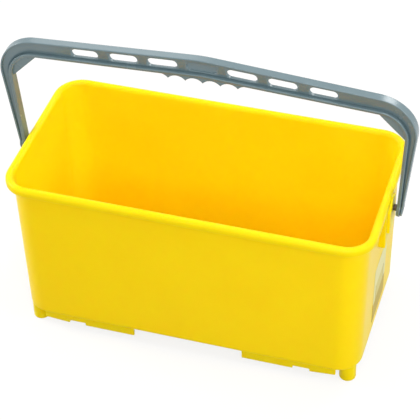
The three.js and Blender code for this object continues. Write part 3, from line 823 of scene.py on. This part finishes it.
handleGrey = mouldedGreyPolypropylene(handleFinish)
depthLevels = [0, bail["crest"] - bail["outerCorner"], bail["grip"] - bail["innerFlange"]]
depthHalves = np.array([bail["armDepth"], bail["shoulderDepth"], bail["barDepth"]]) / 2
headSeat = pin["outside"] - pin["sink"] - pin["headThickness"] - pin["clearance"]
boreRadius, headBore = pin["radius"] + pin["clearance"], pin["headRadius"] + pin["clearance"]
boreRows = [(pin["boreStart"], boreRadius), (headSeat, boreRadius), (headSeat, headBore),
            (pin["boreStop"], headBore)]
bores = [roundBar(boreRows, bail["pivot"], side) for side in (1, -1)]
webHalves = np.array([bail["armWeb"], bail["shoulderWeb"], bail["web"]]) / 2
web = sweptPart(bail, bail["boss"], depthLevels, webHalves, webSection(bail))
handle = meshObject("bailMoulding", [web], handleGrey)
combine(handle, slotCutters(slots, bail), "DIFFERENCE")
combine(handle, [
    sweptPart(bail, bail["outerEye"], depthLevels, depthHalves, outerFlangeSection(bail)),
    sweptPart(bail, bail["innerEye"], depthLevels, depthHalves, innerFlangeSection(bail)),
    gripSurface(grip, bail), gussetSurface(gusset, bail, 1), gussetSurface(gusset, bail, -1)], "UNION")
combine(handle, bores, "DIFFERENCE")
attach(handle, bailBody)
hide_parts("bail_handle")
print("handle made")


# pivot pins, dark nylon with a brown tint that is a painted reflection of the yellow bucket

pinLookWithPaintedReflection = {
    # the brown tint of this pigment is a painted reflection of the yellow bucket round the pin
    "pigment": "#4A3A2C", "roughness": 0.3, "specular": 0.5, "grain": 0.6, "grainHeight": 0.01,
}


def mouldedNylonWithPaintedReflection(look):
    # moulded nylon, nearly black, with a brown tint that is a painted reflection of the yellow bucket:
    # smooth, with the dull shine of a bearing surface
    material, tree = newMaterial("mouldedNylonWithPaintedReflection")
    place = addNode(tree, "ShaderNodeTexCoord").outputs["Object"]
    grain = noiseAt(tree, place, look["grain"], 3.0)
    gloss = glossFrom(tree, grain, look["roughness"], 0.06, 0.08)
    relief = reliefFrom(tree, grain, 0.4, look["grainHeight"])
    surface = addNode(tree, "ShaderNodeBsdfPrincipled", {
        "Base Color": toLinear(look["pigment"]), "IOR": 1.53, "Specular IOR Level": look["specular"],
    }, {"Roughness": gloss, "Normal": relief})
    addNode(tree, "ShaderNodeOutputMaterial", links={"Surface": surface.outputs["BSDF"]})
    return material


pinMaterialWithPaintedReflection = mouldedNylonWithPaintedReflection(pinLookWithPaintedReflection)
pinPlaces = (("pivotPinRight", "pivot_pin_right", 1), ("pivotPinLeft", "pivot_pin_left", -1))
for pinName, pinNode, pinSide in pinPlaces:
    pinPiece = meshObject(pinName, [pinSurface(pin, bail["pivot"], pinSide)], pinMaterialWithPaintedReflection)
    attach(pinPiece, bailBody)
    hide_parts(pinNode)
print("pins made")


# blank label on the right end

label = {
    "half": 38.0, "height": 104.0, "bottom": 48.0, "thickness": 0.3, "gap": 0.12, "corner": 3.0,
    "edge": 0.12,
}
labelFinish = {
    "paper": "#E8E2A2", "block": "#D8CC76", "line": "#9C9334", "band": "#C2A82A",
    "bandTop": 84.0, "blockTop": 113.0, "blockHalf": 26.0, "lineWidth": 2.0,
    "roughness": 0.4, "specular": 0.1, "wave": 30.0, "waveHeight": 0.3,
}


def printedFilm(look):
    # self-adhesive printed film, semi-gloss: cream above, a pale block and an olive band below, and
    # nothing written on it
    material, tree = newMaterial("printedFilm")
    place = addNode(tree, "ShaderNodeTexCoord").outputs["Object"]
    axes = addNode(tree, "ShaderNodeSeparateXYZ", links={"Vector": place})
    wave = noiseAt(tree, place, look["wave"], 2.0)

    def above(level):
        return addNode(tree, "ShaderNodeMath", {"operation": "GREATER_THAN", 1: level * millimetre},
                       {0: axes.outputs["Z"]}).outputs["Value"]

    def layer(mask, under, over):
        mix = addNode(tree, "ShaderNodeMix", {"data_type": "RGBA"}, {0: mask})
        for slot, colour in ((6, under), (7, over)):
            if isinstance(colour, tuple):
                mix.inputs[slot].default_value = colour
            else:
                tree.links.new(colour, mix.inputs[slot])
        return mix.outputs[2]

    side = addNode(tree, "ShaderNodeMath", {"operation": "ABSOLUTE"}, {0: axes.outputs["Y"]})
    inside = addNode(tree, "ShaderNodeMath", {
        "operation": "LESS_THAN", 1: look["blockHalf"] * millimetre},
        {0: side.outputs["Value"]}).outputs["Value"]
    edgeLine = addNode(tree, "ShaderNodeMath", {
        "operation": "COMPARE", 1: (look["blockHalf"] - look["lineWidth"] / 2) * millimetre,
        2: look["lineWidth"] / 2 * millimetre}, {0: side.outputs["Value"]}).outputs["Value"]
    block = layer(inside, toLinear(look["paper"]), toLinear(look["block"]))
    block = layer(edgeLine, block, toLinear(look["line"]))
    upper = layer(above(look["blockTop"]), block, toLinear(look["paper"]))
    ink = layer(above(look["bandTop"]), toLinear(look["band"]), upper)
    relief = reliefFrom(tree, wave, 0.3, look["waveHeight"])
    surface = addNode(tree, "ShaderNodeBsdfPrincipled", {
        "Roughness": look["roughness"], "IOR": 1.46, "Specular IOR Level": look["specular"],
    }, {"Base Color": ink, "Normal": relief})
    addNode(tree, "ShaderNodeOutputMaterial", links={"Surface": surface.outputs["BSDF"]})
    return material


def labelSurface(settings, body):
    # rounded sheet of film that follows the sloping end wall
    half, low, high = settings["half"], settings["bottom"], settings["bottom"] + settings["height"]
    path = roundedPath([(-half, low), (half, low), (half, high), (-half, high)], settings["corner"])
    points = roundedSlab(path, settings["gap"], settings["gap"] + settings["thickness"],
                         settings["edge"])
    y, z, lift = points[..., 0], points[..., 1], points[..., 2]
    wallInset = body["roll"] - body["wall"]
    share = (z - body["floor"]) / (body["height"] - body["roll"] / 2 - body["floor"])
    wall = body["rimLength"] / 2 - wallInset - body["endDraft"] * (1 - share)
    return gridSurface(np.stack([wall + lift, y, z], axis=-1))


filmLabel = meshObject("endLabelFilm", [labelSurface(label, tub)], printedFilm(labelFinish))
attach(filmLabel, bucketBody)
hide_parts("end_label")
print("label made")


# stage and light

# the floor's size and the lamps' sizes and places are in metres, the lamps' power is in watts
stage = {"size": 8.0, "paper": "#F4F4F2", "bounce": "#B2B2B0", "cameraWhite": 0.8}


def paperFloor(look):
    # matt white paper; the camera sees most of it as plain white, and the shadow stays
    material, tree = newMaterial("mattPaperFloor")
    path = addNode(tree, "ShaderNodeLightPath")
    mirrored = addNode(tree, "ShaderNodeMath", {"operation": "MAXIMUM"}, {
        0: path.outputs["Is Glossy Ray"], 1: path.outputs["Is Transmission Ray"]})
    direct = addNode(tree, "ShaderNodeMath", {"operation": "MAXIMUM"}, {
        0: path.outputs["Is Camera Ray"], 1: mirrored.outputs["Value"]})
    seen = addNode(tree, "ShaderNodeMath", {"operation": "MULTIPLY", 1: look["cameraWhite"]},
                   {0: direct.outputs["Value"]})
    shade = addNode(tree, "ShaderNodeMix", {
        "data_type": "RGBA", 6: toLinear(look["bounce"]), 7: toLinear(look["paper"])},
        {0: direct.outputs["Value"]})
    paper = addNode(tree, "ShaderNodeBsdfDiffuse", links={"Color": shade.outputs[2]})
    white = addNode(tree, "ShaderNodeEmission", {"Color": (1, 1, 1, 1), "Strength": 1.0})
    mix = addNode(tree, "ShaderNodeMixShader", links={
        0: seen.outputs["Value"], 1: paper.outputs["BSDF"], 2: white.outputs["Emission"]})
    addNode(tree, "ShaderNodeOutputMaterial", links={"Surface": mix.outputs["Shader"]})
    return material


def makeFloor(look):
    half = look["size"] / 2
    mesh = bpy.data.meshes.new("paperFloor")
    corners = [(-half, -half, 0), (half, -half, 0), (half, half, 0), (-half, half, 0)]
    mesh.from_pydata(corners, [], [(0, 1, 2, 3)])
    mesh.materials.append(paperFloor(look))
    floor = bpy.data.objects.new("paperFloor", mesh)
    bpy.context.scene.collection.objects.link(floor)


makeFloor(stage)

studio = {
    "sky": 0.33,
    "lamps": {
        "leftLamp": {"size": 1.0, "power": 44.0, "place": (-2.45, -0.00, 1.34)},
        "frontLamp": {"size": 1.0, "power": 39.5, "place": (0.71, -1.94, 1.94)},
        "rightLamp": {"size": 0.8, "power": 21.0, "place": (2.35, -0.41, 1.47)},
        "backLamp": {"size": 1.0, "power": 23.0, "place": (0.95, 1.65, 2.11)},
        "topLamp": {"size": 1.0, "power": 11.0, "place": (0.00, -0.05, 2.90)},
        "cornerLamp": {"size": 1.0, "power": 5.0, "place": (-0.99, 1.95, 1.79)},
    },
}


def softLamp(name, look, target=(0, 0, 0.2)):
    data = bpy.data.lights.new(name, "AREA")
    data.shape, data.size, data.energy = "SQUARE", look["size"], look["power"]
    lamp = bpy.data.objects.new(name, data)
    bpy.context.scene.collection.objects.link(lamp)
    place = np.array(look["place"])
    back = place - np.array(target)
    back /= np.linalg.norm(back)
    right = np.cross([0, 0, 1], back)
    right /= np.linalg.norm(right)
    columns = np.column_stack([right, np.cross(back, right), back, place])
    lamp.matrix_world = Matrix([*columns.tolist(), [0, 0, 0, 1]])


def whiteRoom(strength):
    # even room light; what the camera and mirror-like surfaces see of it is plain white
    world = bpy.data.worlds.new("whiteRoom")
    world.use_nodes = True
    tree = world.node_tree
    tree.nodes.clear()
    path = addNode(tree, "ShaderNodeLightPath")
    seen = addNode(tree, "ShaderNodeMath", {"operation": "MAXIMUM"}, {
        0: path.outputs["Is Camera Ray"], 1: path.outputs["Is Glossy Ray"]})
    seen = addNode(tree, "ShaderNodeMath", {"operation": "MAXIMUM"}, {
        0: seen.outputs["Value"], 1: path.outputs["Is Transmission Ray"]})
    level = addNode(tree, "ShaderNodeMapRange", {"To Min": strength, "To Max": 1.0},
                    {"Value": seen.outputs["Value"]})
    light = addNode(tree, "ShaderNodeBackground", {"Color": (1, 1, 1, 1)},
                    {"Strength": level.outputs["Result"]})
    addNode(tree, "ShaderNodeOutputWorld", links={"Surface": light.outputs["Background"]})
    bpy.context.scene.world = world


for lampName, lampLook in studio["lamps"].items():
    softLamp(lampName, lampLook)
whiteRoom(studio["sky"])
bpy.context.scene.view_settings.view_transform = "Standard"
print("stage and light set")
